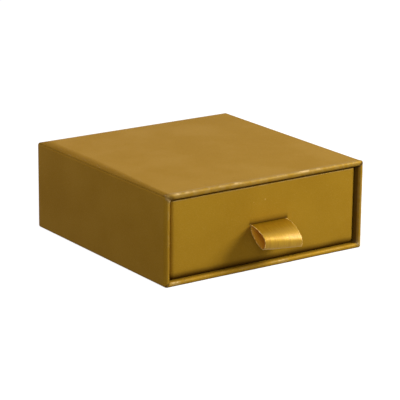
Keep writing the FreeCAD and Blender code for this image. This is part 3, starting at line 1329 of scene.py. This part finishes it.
@dataclass
class Drawer:
    """The tray: wrapped greyboard with taped corners and a slot for the ribbon."""

    half_width: float = 0.0422
    front: float = -0.0438
    rear: float = 0.0426
    bottom: float = 0.0019
    top: float = 0.0315
    wall: float = 0.0019
    paper: float = 0.0002
    edge_radius: float = 0.0018
    rim_radius: float = 0.00045
    proud_rim: float = 0.00025
    board_top: float = 0.0036
    slot_middle: float = 0.0015
    slot_half_width: float = 0.0083
    slot_low: float = 0.0164
    slot_high: float = 0.0174
    slot_lift: float = 0.0001  # how far the paper stands up round the slot
    slot_reach: float = 0.0007
    slot_shade: float = 0.95  # how dark the paper is above it
    shade_up: float = 0.0012
    shade_aside: float = 0.0006
    tape_half_width: float = 0.010
    tape_half_height: float = 0.0111
    tape_depth: float = 0.00045
    tail_half_width: float = 0.0082
    tail_half_height: float = 0.0094
    tape_dip: float = 0.00006  # how much lower the tape lies beside the ribbon's tails
    tape_ease: float = 0.0011
    spacing: float = 0.0011
    fine_spacing: float = 0.0003
    fine_range: float = 0.0009
    swell: float = 0.00003  # unevenness of the board under the paper
    dent: float = 0.00005  # unevenness of the rim
    slack: float = 0.00002  # the most that the inner paper stands off
    scuff_height: float = 0.0034  # how far up the walls the painted shade along the bottom edge reaches
    scuff_change: float = 0.0004
    scuff_fade: float = 0.0026
    rim_rub: tuple[float, float, float] = (0.6, 0.1, 0.3)  # outer edge, top, inner edge
    base_lap: float = 0.0004  # flat paper under the base, inside its rounded edge
    slit_reach: float = 0.0008
    rim_corner: Corner = Corner(0.00007, 0.00005)
    inner_corner: Corner = Corner(0.00007)
    outer_corner: Corner = Corner(0.00002)

    def sides(self) -> tuple[Side, ...]:
        """Gives the four walls' paper; the front's columns meet the slot's ends.

        Returns:
            The sides, in order round the drawer.
        """
        half_depth = (self.rear - self.front) / 2
        flat_x, flat_y = self.half_width - self.edge_radius, half_depth - self.edge_radius
        ends = (self.slot_middle - self.slot_half_width, self.slot_middle + self.slot_half_width)
        close = [(end - self.fine_range, end + self.fine_range) for end in ends]
        front = even_stops(flat_x, self.spacing, close, self.fine_spacing)
        wide, deep = even_stops(flat_x, self.spacing), even_stops(flat_y, self.spacing)
        return (
            Side("front", -Y, X, half_depth, self.half_width, front),
            Side("right", X, Y, self.half_width, half_depth, deep),
            Side("back", Y, -X, half_depth, self.half_width, wide),
            Side("left", -X, -Y, self.half_width, half_depth, deep),
        )

    def wall_levels(self) -> list[float]:
        """Gives the heights of the outer wall's lines, which meet the slot's long edges.

        Returns:
            The heights, from the bottom up.
        """
        around = 0.0012
        stops = (
            self.bottom + self.edge_radius,
            self.slot_low - around,
            self.slot_low,
            self.slot_high,
            self.slot_high + around,
            self.top - self.rim_radius,
        )
        levels = []
        for low, high, count in zip(stops, stops[1:], (11, 5, 4, 5, 11)):
            levels += list(np.linspace(low, high, count))[1:]
        return levels[:-1]

    def rows(self) -> list[Row]:
        """Lists the wrap's lines from under the base to the inside of the walls.

        Returns:
            The lines.
        """
        edge, rim, steps = self.edge_radius, self.rim_radius, 6
        rows = [Row(edge + self.base_lap, self.bottom, 0, -1)]
        turns = [QUARTER * (1 - i / 5) for i in range(6)]
        rows += [edge_row(0.0, self.bottom, edge, turn, -1) for turn in turns]
        rows += [Row(0, level, 1, 0, joined=False) for level in self.wall_levels()]
        turns = [QUARTER * i / steps for i in range(steps + 1)]
        kept, (outer_rub, top_rub, inner_rub) = {"joined": False, "lip": 0.5}, self.rim_rub
        for turn in turns:
            rub = outer_rub * math.sin(2 * turn)
            rows.append(edge_row(0.0, self.top, rim, turn, 1, rub=rub, **kept))
        across = (rim + (self.wall - 2 * rim) * share for share in (0.25, 0.5, 0.75))
        rows += [Row(inset, self.top, 0, 1, top_rub, **kept) for inset in across]
        for turn in turns:
            rub, beyond = inner_rub * math.sin(2 * turn), QUARTER + turn
            rows.append(edge_row(self.wall - 2 * rim, self.top, rim, beyond, 1, rub=rub, **kept))
        levels = np.linspace(self.top - rim, self.board_top, 46)[1:]
        return rows + [Row(self.wall, level, -1, 0, joined=False) for level in levels]

    def over_tape(self, place: Vector) -> float:
        """Gives how far the inner paper stands off the front board over the ribbon's tape.

        Args:
            place: A point of the paper.

        Returns:
            The distance.
        """
        across = abs(place.x - self.slot_middle)
        up = abs(place.z - (self.slot_low + self.slot_high) / 2)

        def within(half_width: float, half_height: float, ahead: float) -> float:
            """Gives 1 within a sheet's outline, and 0 past its edge."""
            wide, high = (half_width - across) / self.tape_ease, (half_height - up) / self.tape_ease
            return smoothstep(wide + ahead) * smoothstep(high + ahead)

        size = (self.tape_half_width + self.paper, self.tape_half_height + self.paper)
        tape = within(*size, 0.6) * self.tape_depth
        beside = 1 - within(self.tail_half_width, self.tail_half_height, 0.5)
        return tape - self.tape_dip * beside * (tape > 0.0001)

    def unevenness(self, spot: Spot, outward: Vector) -> Vector:
        """Gives how the paper and the board beneath it are off their true planes.

        Args:
            spot: The point on the even wrap.
            outward: The surface's direction there.

        Returns:
            How far the point moves.
        """
        row, place, front = spot.row, spot.place, spot.side.name == "front"
        inside = row.inset >= self.wall - HAIR
        height = self.swell * (0.5 + 0.5 * ripple(place, 0.018, 11.3))
        shift = Z * (self.proud_rim * (row.lip > 0))
        if row.lip > 0:
            height += self.dent * (0.5 + 0.5 * ripple(Vector((place.x, place.y, 0.0)), 0.005, 4.4))
        if not row.joined:
            corner = self.inner_corner if inside else self.outer_corner
            corner = self.rim_corner if row.lip > 0 else corner
            slide, lift = flap_shift(spot, corner, corner, 1.0, self.slit_reach)
            shift = shift + slide
            height = min(height + lift, self.slack) if inside else height + lift
        if front and row.inset == 0:
            past_x = max(abs(place.x - self.slot_middle) - self.slot_half_width, 0.0)
            past_z = max(self.slot_low - place.z, place.z - self.slot_high, 0.0)
            height += self.slot_lift * bell(math.hypot(past_x, past_z), self.slot_reach)
        if front and inside:
            height = self.over_tape(place)
        if place.z < self.bottom + self.edge_radius / 2:
            height = 0.0
        return outward * height + shift

    def wear(self, spot: Spot) -> Wear:
        """Gives what use has done to the rim's paper, and painted shade: darker towards the bottom
        of the outer walls and just above the ribbon's slot.

        Args:
            spot: The point.

        Returns:
            Its rubbing and painted shade.
        """
        row, place = spot.row, spot.place
        if row.inset >= self.wall or row.lip:
            return Wear(row.rub)
        # painted shade in the crevice along the bottom edge, darker towards the bottom
        width = self.scuff_height + self.scuff_change * ripple(place, 0.009, 2.2)
        dark = smoothstep((width - (place.z - self.bottom)) / self.scuff_fade)
        # painted shade on the paper just above the slot, where the ribbon's root shades it
        above = place.z - self.slot_high
        if spot.side.name == "front" and above > -HAIR:
            past = max(abs(place.x - self.slot_middle) - self.slot_half_width, 0.0)
            dark += self.slot_shade * bell(above, self.shade_up) * bell(past, self.shade_aside)
        return Wear(row.rub, 0.0, min(dark, 1.0))

    def has_paper(self, spot: Spot) -> bool:
        """Tells whether a place is outside the ribbon's slot.

        Args:
            spot: The middle of a face.

        Returns:
            Whether there is paper.
        """
        if spot.side.name != "front" or spot.place.y > self.front + self.wall / 2:
            return True
        beside = abs(spot.place.x - self.slot_middle) > self.slot_half_width
        return beside or not self.slot_low < spot.place.z < self.slot_high

    def wrap(self) -> bpy.types.Object:
        """Makes the gold paper of the drawer, inside and out, closed under the base.

        Returns:
            The piece.
        """
        centre = Y * ((self.front + self.rear) / 2)
        form = Wrap(centre, Z, self.edge_radius, self.sides(), closed=True, arc_steps=4)
        skin = form.build(self.rows(), self.unevenness, self.wear, self.has_paper)
        flat = (skin.points[:, 2] < self.bottom + HAIR) & (skin.normals[:, 2] < -0.999)
        ring = {start for start, end in skin.border() if flat[start] and flat[end]}
        middle = skin.points[list(ring)].mean(0)
        turns = {i: math.atan2(*(skin.points[i] - middle)[[1, 0]]) for i in ring}
        skin.faces.append(tuple(sorted(ring, key=lambda i: -turns[i])))
        return skin.thicken("drawer_paper", self.paper, wrap_materials())

    def build(self) -> None:
        """Makes and places the drawer's paper, and dresses its boards, tapes and base paper."""
        place_piece(self.wrap(), Body.DRAWER, Slot.GOLD_PAPER, "drawer_wrap")
        walls = ("base", "front", "back", "left", "right")
        finish_nodes(GREYBOARD.make(), *(f"drawer_{wall}_board" for wall in walls))
        ends = [(end, side) for end in ("front", "back") for side in ("left", "right")]
        stays = (f"corner_stay_{end}_{side}" for end, side in ends)
        finish_nodes(KRAFT_TAPE.make(), *stays, "ribbon_tape")
        finish_nodes(PearlPaper().make(), "drawer_base_liner")


# ---------------------------------------------------------------- the ribbon


@dataclass(frozen=True)
class Station:
    """A place on the ribbon's loop: each edge in millimetres, out from the front and up."""

    left: tuple[float, float]
    right: tuple[float, float]


@dataclass
class RibbonPull:
    """The satin ribbon: tails glued inside, two legs through the slot, and the loop to pull on."""

    width: float = 0.016
    thickness: float = 0.0003
    middle: float = 0.0015
    front: float = -0.0438
    slot_z: float = 0.0169
    inside: float = 0.00185
    leg_height: float = 0.0002
    tail_reach: float = 0.0091
    bend_radius: float = 0.0003
    crown: float = 0.00022  # how much higher the loop's middle lies than its edges
    wave: float = 0.00008
    free_at: float = 0.006  # how far out the slot no longer holds the ribbon flat
    columns: int = 33
    step: float = 0.0002
    edge_turns: tuple[float, ...] = (0.9, 1.57, 2.24)

    def loop(self) -> list[Station]:
        """Lists the loop's stations from the upper leg over the nose to the lower leg.

        Returns:
            The stations.
        """
        return [
            Station((1.6, 0.05), (1.4, 0.05)),
            Station((4, -0.55), (3.4, -0.4)),
            Station((7, -1.65), (6.6, -1.8)),
            Station((8.6, -3.05), (9, -3.75)),
            Station((9.1, -4.55), (10.2, -5.65)),
            Station((8.9, -6.05), (10, -7.45)),
            Station((8.1, -6.95), (9.1, -8.75)),
            Station((6.9, -6.9), (7.8, -8.95)),
            Station((4.5, -5.85), (5.2, -7.55)),
            Station((2.2, -4.05), (2.4, -5.15)),
            Station((0.45, -2.15), (0.45, -2.55)),
        ]

    def edge_line(self, side: str) -> np.ndarray:
        """Gives one edge of the ribbon as points out and up, in metres.

        Args:
            side: "left" or "right".

        Returns:
            The edge's line from the upper tail's end to the lower one's.
        """
        z, high, low = self.slot_z, self.slot_z + self.leg_height, self.slot_z - self.leg_height
        deep, bend, knee = -self.inside, self.bend_radius, 0.003
        arc = [(math.cos(a), math.sin(a)) for a in (QUARTER * i / 4 for i in range(5))]
        upper = [(deep, z + self.tail_reach), (deep, z + knee)]
        upper += [(deep + bend * (1 - cos), high + bend * (1 - sin)) for cos, sin in arc]
        upper += [(-0.0008, high), (0.0, high)]
        ends = [getattr(station, side) for station in self.loop()]
        loop = [(out * MM, z + rise * MM) for out, rise in ends]
        lower = [(0.00015, z - 0.0012), (0.00012, low - 0.00045), (0.0, low - 0.00012)]
        lower += [(-0.0002, low), (-0.0009, low)]
        lower += [(deep + bend * (1 - sin), low - bend * (1 - cos)) for cos, sin in arc]
        lower += [(deep, z - knee), (deep, z - self.tail_reach)]
        return rounded_line(np.array(upper + loop + lower))

    def lines(self) -> tuple[np.ndarray, np.ndarray]:
        """Gives both edges with as many points each, and their tails cut to the same length.

        Returns:
            The left edge and the right one.
        """
        left, right = self.edge_line("left"), self.edge_line("right")
        spare = (line_length(right) - line_length(left)) / 4
        left, right = move_ends(left, spare), move_ends(right, -spare)
        count = round(line_length(left) / self.step)
        return resample(left, count), resample(right, count)

    def surface(self) -> tuple[np.ndarray, np.ndarray, np.ndarray]:
        """Lays the ribbon's middle between its edges.

        Returns:
            A grid of points, their outward directions, and the length at each line.
        """
        left, right = self.lines()
        shares = np.linspace(0, 1, self.columns)
        across = shares[None, :, None]
        flat = left[:, None, :] * (1 - across) + right[:, None, :] * across
        points = np.zeros((len(left), self.columns, 3))
        points[:, :, 0] = self.middle - self.width / 2 + shares[None, :] * self.width
        points[:, :, 1] = self.front - flat[:, :, 0]
        points[:, :, 2] = flat[:, :, 1]
        held = np.clip(flat[:, :, 0] / self.free_at, 0, 1)
        loose = held * held * (3 - 2 * held)
        crown = (1 - (2 * shares - 1) ** 2)[None, :] * loose * self.crown
        wave = np.array([[ripple(Vector(p), 0.006, 8.8) for p in row] for row in points])
        points += grid_normals(points) * (crown + wave * self.wave * loose)[:, :, None]
        return points, grid_normals(points), np.linspace(0, line_length(left), len(left))

    def strip(self) -> bpy.types.Object:
        """Makes the woven strip with its rounded edges and the map that its weave follows.

        Returns:
            The piece.
        """
        points, normals, length = self.surface()
        rows, columns = points.shape[:2]
        raised = normals * self.thickness / 2
        aside = points[:, 0] - points[:, 1]
        aside *= self.thickness / 2 / np.linalg.norm(aside, axis=1)[:, None]
        turns = [(math.cos(a), math.sin(a)) for a in self.edge_turns]
        right = [points[:, -1] + raised[:, -1] * cos - aside * sin for cos, sin in turns]
        left = [points[:, 0] - raised[:, 0] * cos + aside * sin for cos, sin in turns]
        right, left, back = np.stack(right, 1), np.stack(left, 1), (points - raised)[:, ::-1]
        rings = np.concatenate((points + raised, right, back, left), 1)
        across = np.linspace(0, self.width, columns)
        edge = np.ones(len(turns))
        ring_map = np.concatenate((across, edge * self.width, across[::-1], edge * 0.0))
        around = len(ring_map)
        faces, kinds = [], []
        for first in range(0, (rows - 1) * around, around):
            for c in range(around):
                after, above = (c + 1) % around, first + around
                faces.append((first + c, first + after, above + after, above + c))
                kinds.append(0 if c < columns - 1 else 1)
        last = (rows - 1) * around
        faces += [tuple(reversed(range(around))), tuple(range(last, last + around))]
        mesh = bpy.data.meshes.new("ribbon_strip")
        mesh.from_pydata(rings.reshape(-1, 3).tolist(), [], faces)
        for finish in (SATIN_FACE, SATIN_REVERSE):
            mesh.materials.append(finish.make())
        mesh.polygons.foreach_set("material_index", kinds + [1, 1])
        corner = np.zeros(len(mesh.loops), np.int32)
        mesh.loops.foreach_get("vertex_index", corner)
        weave = np.stack((ring_map[corner % around], length[corner // around]), 1) / MM
        mesh.uv_layers.new(name="weave").data.foreach_set("uv", weave.astype(np.float32).ravel())
        mesh.shade_smooth()
        orient_outwards(mesh)
        return add_object("ribbon_strip", mesh)

    def selvedge(self) -> bpy.types.Object:
        """Makes the looped threads along both edges, by geometry nodes on the edges' lines.

        Returns:
            The piece.
        """
        points, _, _ = self.surface()
        count = len(points)
        lines = [(i, i + 1) for i in range(2 * count - 1) if i != count - 1]
        mesh = bpy.data.meshes.new("selvedge_lines")
        mesh.from_pydata(np.vstack((points[:, 0], points[:, -1])).tolist(), lines, [])
        source = add_object("selvedge_lines", mesh)
        sizes = {"Spacing": 0.00024, "Loop Radius": 0.00016, "Thread Radius": 0.00005, "Seed": 11}
        return grow(source, "ribbon_selvedge", looped_edge_tree(SelvedgeThread().make()), sizes)

    def build(self) -> None:
        strip, selvedge = self.strip(), self.selvedge()
        left, _ = self.lines()
        place_piece(strip, Body.DRAWER, Slot.GOLD_SATIN, "ribbon_pull")
        place_piece(selvedge, Body.DRAWER, Slot.GOLD_SATIN)
        line_length(left)


def blend(
    points: list[np.ndarray], starts: np.ndarray, ends: np.ndarray, at: float
) -> list[np.ndarray]:
    """Mixes each point with the next, by how far a place is between two marks.

    Args:
        points: The points.
        starts: The mark where each mix is all of its first point.
        ends: The mark where it is all of its second.
        at: The place.

    Returns:
        The mixed points, one fewer.
    """
    pairs = zip(points, points[1:], starts, ends)
    return [((end - at) * a + (at - start) * b) / (end - start) for a, b, start, end in pairs]


def rounded_line(corners: np.ndarray, per_span: int = 14) -> np.ndarray:
    """Runs a smooth line through points, with its pace set by their distances.

    Args:
        corners: The points to pass through.
        per_span: Points made between each two.

    Returns:
        The line's points.
    """
    padded = np.vstack((2 * corners[0] - corners[1], corners, 2 * corners[-1] - corners[-2]))
    made = []
    for i in range(len(corners) - 1):
        near = padded[i : i + 4]
        paces = np.sqrt(np.linalg.norm(np.diff(near, axis=0), axis=1))
        marks = np.concatenate(([0.0], np.cumsum(paces)))
        for at in np.linspace(marks[1], marks[2], per_span, endpoint=False):
            first = blend(list(near), marks, marks[1:], at)
            second = blend(first, marks, marks[2:], at)
            made += blend(second, marks[1:], marks[2:], at)
    made.append(corners[-1])
    return np.array(made)


def line_length(line: np.ndarray) -> float:
    """Measures a line of points."""
    return float(np.linalg.norm(np.diff(line, axis=0), axis=1).sum())


def move_ends(line: np.ndarray, extra: float) -> np.ndarray:
    """Moves both ends of a line outwards in height, and drops the points that are then past them.

    Args:
        line: Points out and up, the first end high and the last one low.
        extra: How far each end moves, below 0 for inwards.

    Returns:
        The longer or shorter line.
    """
    made = line.copy()
    made[0, 1] += extra
    made[-1, 1] -= extra
    kept = (line[:, 1] < made[0, 1]) & (line[:, 1] > made[-1, 1])
    kept[[0, -1]] = True
    return made[kept]


def resample(line: np.ndarray, count: int) -> np.ndarray:
    """Spreads a number of points evenly along a line.

    Args:
        line: The line's points.
        count: How many points to make.

    Returns:
        The new points.
    """
    runs = np.concatenate(([0.0], np.cumsum(np.linalg.norm(np.diff(line, axis=0), axis=1))))
    places = np.linspace(0, runs[-1], count)
    return np.stack([np.interp(places, runs, values) for values in line.T], 1)


def grid_normals(points: np.ndarray) -> np.ndarray:
    """Gives the outward directions of a grid of points, by its slopes along rows and columns."""
    normals = np.cross(np.gradient(points, axis=0), np.gradient(points, axis=1))
    return normals / np.linalg.norm(normals, axis=2)[:, :, None]


def orient_outwards(mesh: bpy.types.Mesh) -> None:
    """Turns a closed mesh's faces outwards if its volume comes out negative.

    Args:
        mesh: The mesh.
    """
    mesh.calc_loop_triangles()
    corners = np.array([[mesh.vertices[i].co for i in t.vertices] for t in mesh.loop_triangles])
    if np.einsum("ij,ij->", corners[:, 0], np.cross(corners[:, 1], corners[:, 2])) < 0:
        mesh.flip_normals()


# ---------------------------------------------------------------- geometry nodes


def looped_edge_tree(material: bpy.types.Material) -> bpy.types.NodeTree:
    """Threads looped round an edge at even distances, each a little out of true.

    Args:
        material: The thread's material.

    Returns:
        The tree.
    """
    sizes = {"Spacing": 0.0003, "Loop Radius": 0.0002, "Thread Radius": 0.00005, "Seed": 1}
    inputs = {"Geometry": "Geometry", **sizes}
    write = GroupWriter("looped_edge", inputs, ("Geometry",), "Geometry", "Geometry")
    given, node = write.given, write.node
    curve = node("GeometryNodeMeshToCurve", {"Mesh": given["Geometry"]})
    spacing = {"Curve": curve.outputs[0], "Length": given["Spacing"]}
    spread = node("GeometryNodeResampleCurve", spacing, mode="LENGTH")
    circle = "GeometryNodeCurvePrimitiveCircle"
    path = node(circle, {"Resolution": 8, "Radius": given["Loop Radius"]})
    thread = node(circle, {"Resolution": 5, "Radius": given["Thread Radius"]})
    sweep = {"Curve": path.outputs[0], "Profile Curve": thread.outputs[0]}
    loop = node("GeometryNodeCurveToMesh", sweep)
    tangent = node("GeometryNodeInputTangent")
    along = node("FunctionNodeAlignRotationToVector", {"Vector": tangent.outputs[0]}, axis="Z")
    tilt_range = {0: (-0.3, -0.3, -1.0), 1: (0.3, 0.3, 1.0), "Seed": given["Seed"]}
    tilt = node("FunctionNodeRandomValue", tilt_range, data_type="FLOAT_VECTOR")
    turns = {0: along.outputs[0], 1: tilt.outputs[0]}
    swung = node("FunctionNodeRotateRotation", turns, rotation_space="LOCAL")
    size_range = {2: 0.9, 3: 1.15, "Seed": given["Seed"]}
    size = node("FunctionNodeRandomValue", size_range, data_type="FLOAT")
    each = {"Points": spread.outputs[0], "Instance": loop.outputs[0]}
    each |= {"Rotation": swung.outputs[0], "Scale": size.outputs[1]}
    placed = node("GeometryNodeInstanceOnPoints", each)
    real = node("GeometryNodeRealizeInstances", {"Geometry": placed.outputs[0]})
    smooth = node("GeometryNodeSetShadeSmooth", {0: real.outputs[0]})
    look = {"Geometry": smooth.outputs[0], "Material": material}
    return write.finish({"Geometry": node("GeometryNodeSetMaterial", look).outputs[0]})


def grow(
    source: bpy.types.Object, name: str, tree: bpy.types.NodeTree, values: dict[str, Any]
) -> bpy.types.Object:
    """Runs a geometry node tree on an object and keeps the result as a plain mesh.

    Args:
        source: The object that the tree starts from, which is removed.
        name: The new piece's name.
        tree: The tree.
        values: Values for its named inputs.

    Returns:
        The new piece.
    """
    modifier = source.modifiers.new(tree.name, "NODES")
    modifier.node_group = tree
    for item in tree.interface.items_tree:
        if item.item_type == "SOCKET" and item.in_out == "INPUT" and item.name in values:
            modifier[item.identifier] = values[item.name]
    bpy.context.view_layer.update()
    depsgraph = bpy.context.evaluated_depsgraph_get()
    evaluated = source.evaluated_get(depsgraph)
    mesh = bpy.data.meshes.new_from_object(evaluated, depsgraph=depsgraph)
    source.modifiers.remove(modifier)
    bpy.data.objects.remove(source)
    mesh.name = name
    return add_object(name, mesh)


# ---------------------------------------------------------------- placing and the studio


def wrap_materials() -> tuple[bpy.types.Material, bpy.types.Material]:
    """Gives the gold paper's face and its cut edge."""
    return PearlPaper().make(), PaperCore().make()


def finish_nodes(material: bpy.types.Material, *names: str) -> None:
    """Gives CAD nodes their finish.

    Args:
        material: The finish.
        names: The nodes' names.
    """
    for name in names:
        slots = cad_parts[name].data.materials
        slots.clear()
        slots.append(material)


def place_piece(piece: bpy.types.Object, body: Body, slot: Slot, *stands_for: str) -> None:
    """Puts a finished piece on its body.

    Args:
        piece: The piece, already in its place.
        body: The body that it moves with.
        slot: The material slot named for it; not used.
        stands_for: CAD nodes that it replaces.
    """
    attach(piece, body.value)
    if stands_for:
        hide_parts(*stands_for)
    log.info("%s: %d faces on %s", piece.name, len(piece.data.polygons), body.value)


def way_to(azimuth: float, elevation: float) -> Vector:
    """Gives the direction of something seen from the object.

    Args:
        azimuth: Degrees round the object, 0 in front and 90 on the right.
        elevation: Degrees above the horizon.

    Returns:
        The direction.
    """
    turn, rise = math.radians(azimuth), math.radians(elevation)
    flat = math.cos(rise)
    return Vector((math.sin(turn) * flat, -math.cos(turn) * flat, math.sin(rise)))


@dataclass(frozen=True)
class Lamp:
    """A soft square lamp that faces the object."""

    name: str
    azimuth: float
    elevation: float
    distance: float
    size: float
    watts: float
    tint: Colour = (1.0, 1.0, 1.0)
    aim: float = 0.015  # height of the place that it faces

    def hang(self) -> None:
        """Puts the lamp in its place."""
        away = way_to(self.azimuth, self.elevation)
        light = bpy.data.lights.new(self.name, "AREA")
        light.size, light.energy, light.color = self.size, self.watts, self.tint
        made = add_object(self.name, light)
        made.location = away * self.distance + Z * self.aim
        made.rotation_mode = "QUATERNION"
        made.rotation_quaternion = away.to_track_quat("Z", "Y")


@dataclass
class Studio:
    """The pale floor, the lamps and the camera."""

    azimuth: float = -34.826
    elevation: float = 16.37
    roll: float = 0.583
    distance: float = 0.7808
    lens: float = 181.91
    sensor: float = 36.0
    target: tuple[float, float, float] = (0.00114, 0.0, 0.01469)
    ambient: float = 0.26
    ambient_tint: Colour = (1.0, 0.9, 0.8)
    floor_tone: float = 0.2
    floor_glow: float = 0.95
    floor_reach: float = 6.0
    floor_level: float = -1e-5
    lamps: tuple[Lamp, ...] = (
        Lamp("key", 57.5, 27.8, 0.7, 0.29, 5.85),
        Lamp("fill", -122, 46, 0.19, 0.12, 0.05, (1.05, 0.9, 1.7)),
        Lamp("front_fill", -36, 33, 0.5, 0.3, 0.48, (1.0, 0.95, 1.15)),
    )

    def world(self) -> None:
        """Lights the scene evenly, and shows white to the camera and in reflections."""
        made = bpy.data.worlds.new("studio")
        made.use_nodes = True
        write = NodeWriter(made.node_tree)
        background = "ShaderNodeBackground"
        plain = write.node(background, {"Color": self.ambient_tint, "Strength": self.ambient})
        white = write.node(background, {"Color": (1.0, 1.0, 1.0), "Strength": 1.0})
        shares = {0: write.seen(), 1: plain.outputs[0], 2: white.outputs[0]}
        mixed = write.node("ShaderNodeMixShader", shares)
        write.node("ShaderNodeOutputWorld", {"Surface": mixed.outputs[0]})
        bpy.context.scene.world = made

    def floor(self) -> None:
        """Lays the floor, which takes the object's shadow."""
        write = MaterialWriter("studio_floor")
        matt = write.node("ShaderNodeBsdfDiffuse", {"Color": (self.floor_tone,) * 3})
        level = write.times(write.seen(), self.floor_glow)
        glow = write.node("ShaderNodeEmission", {"Color": (1.0, 1.0, 1.0), "Strength": level})
        both = write.node("ShaderNodeAddShader", {0: matt.outputs[0], 1: glow.outputs[0]})
        write.node("ShaderNodeOutputMaterial", {"Surface": both.outputs[0]})
        mesh = bpy.data.meshes.new("floor")
        far, z = self.floor_reach, self.floor_level
        corners = [(-far, -far, z), (far, -far, z), (far, far, z), (-far, far, z)]
        mesh.from_pydata(corners, [], [(0, 1, 2, 3)])
        mesh.materials.append(write.made)
        add_object("floor", mesh)

    def camera(self) -> None:
        """Sets the camera up."""
        back = way_to(self.azimuth, self.elevation)
        right = (-back).cross(Z).normalized()
        up = right.cross(-back)
        lean = math.radians(self.roll)
        across = right * math.cos(lean) + up * math.sin(lean)
        upright = up * math.cos(lean) - right * math.sin(lean)
        data = bpy.data.cameras.new("camera")
        data.lens, data.sensor_width = self.lens, self.sensor
        data.clip_start, data.clip_end = 0.01, 50.0
        camera = add_object("camera", data)
        turned = Matrix((across, upright, back)).transposed().to_4x4()
        place = Vector(self.target) + back * self.distance
        camera.matrix_world = Matrix.Translation(place) @ turned
        bpy.context.scene.camera = camera

    def build(self) -> None:
        """Sets the studio up."""
        bpy.context.scene.view_settings.view_transform = "Standard"
        self.world()
        self.floor()
        for lamp in self.lamps:
            lamp.hang()
        self.camera()


def main() -> None:
    """Builds the box, then the studio."""
    logging.basicConfig(level=logging.INFO, format="%(name)s: %(message)s", force=True)
    for part in (Sleeve(), Drawer(), RibbonPull(), Studio()):
        part.build()


if __name__ == "__main__":
    main()
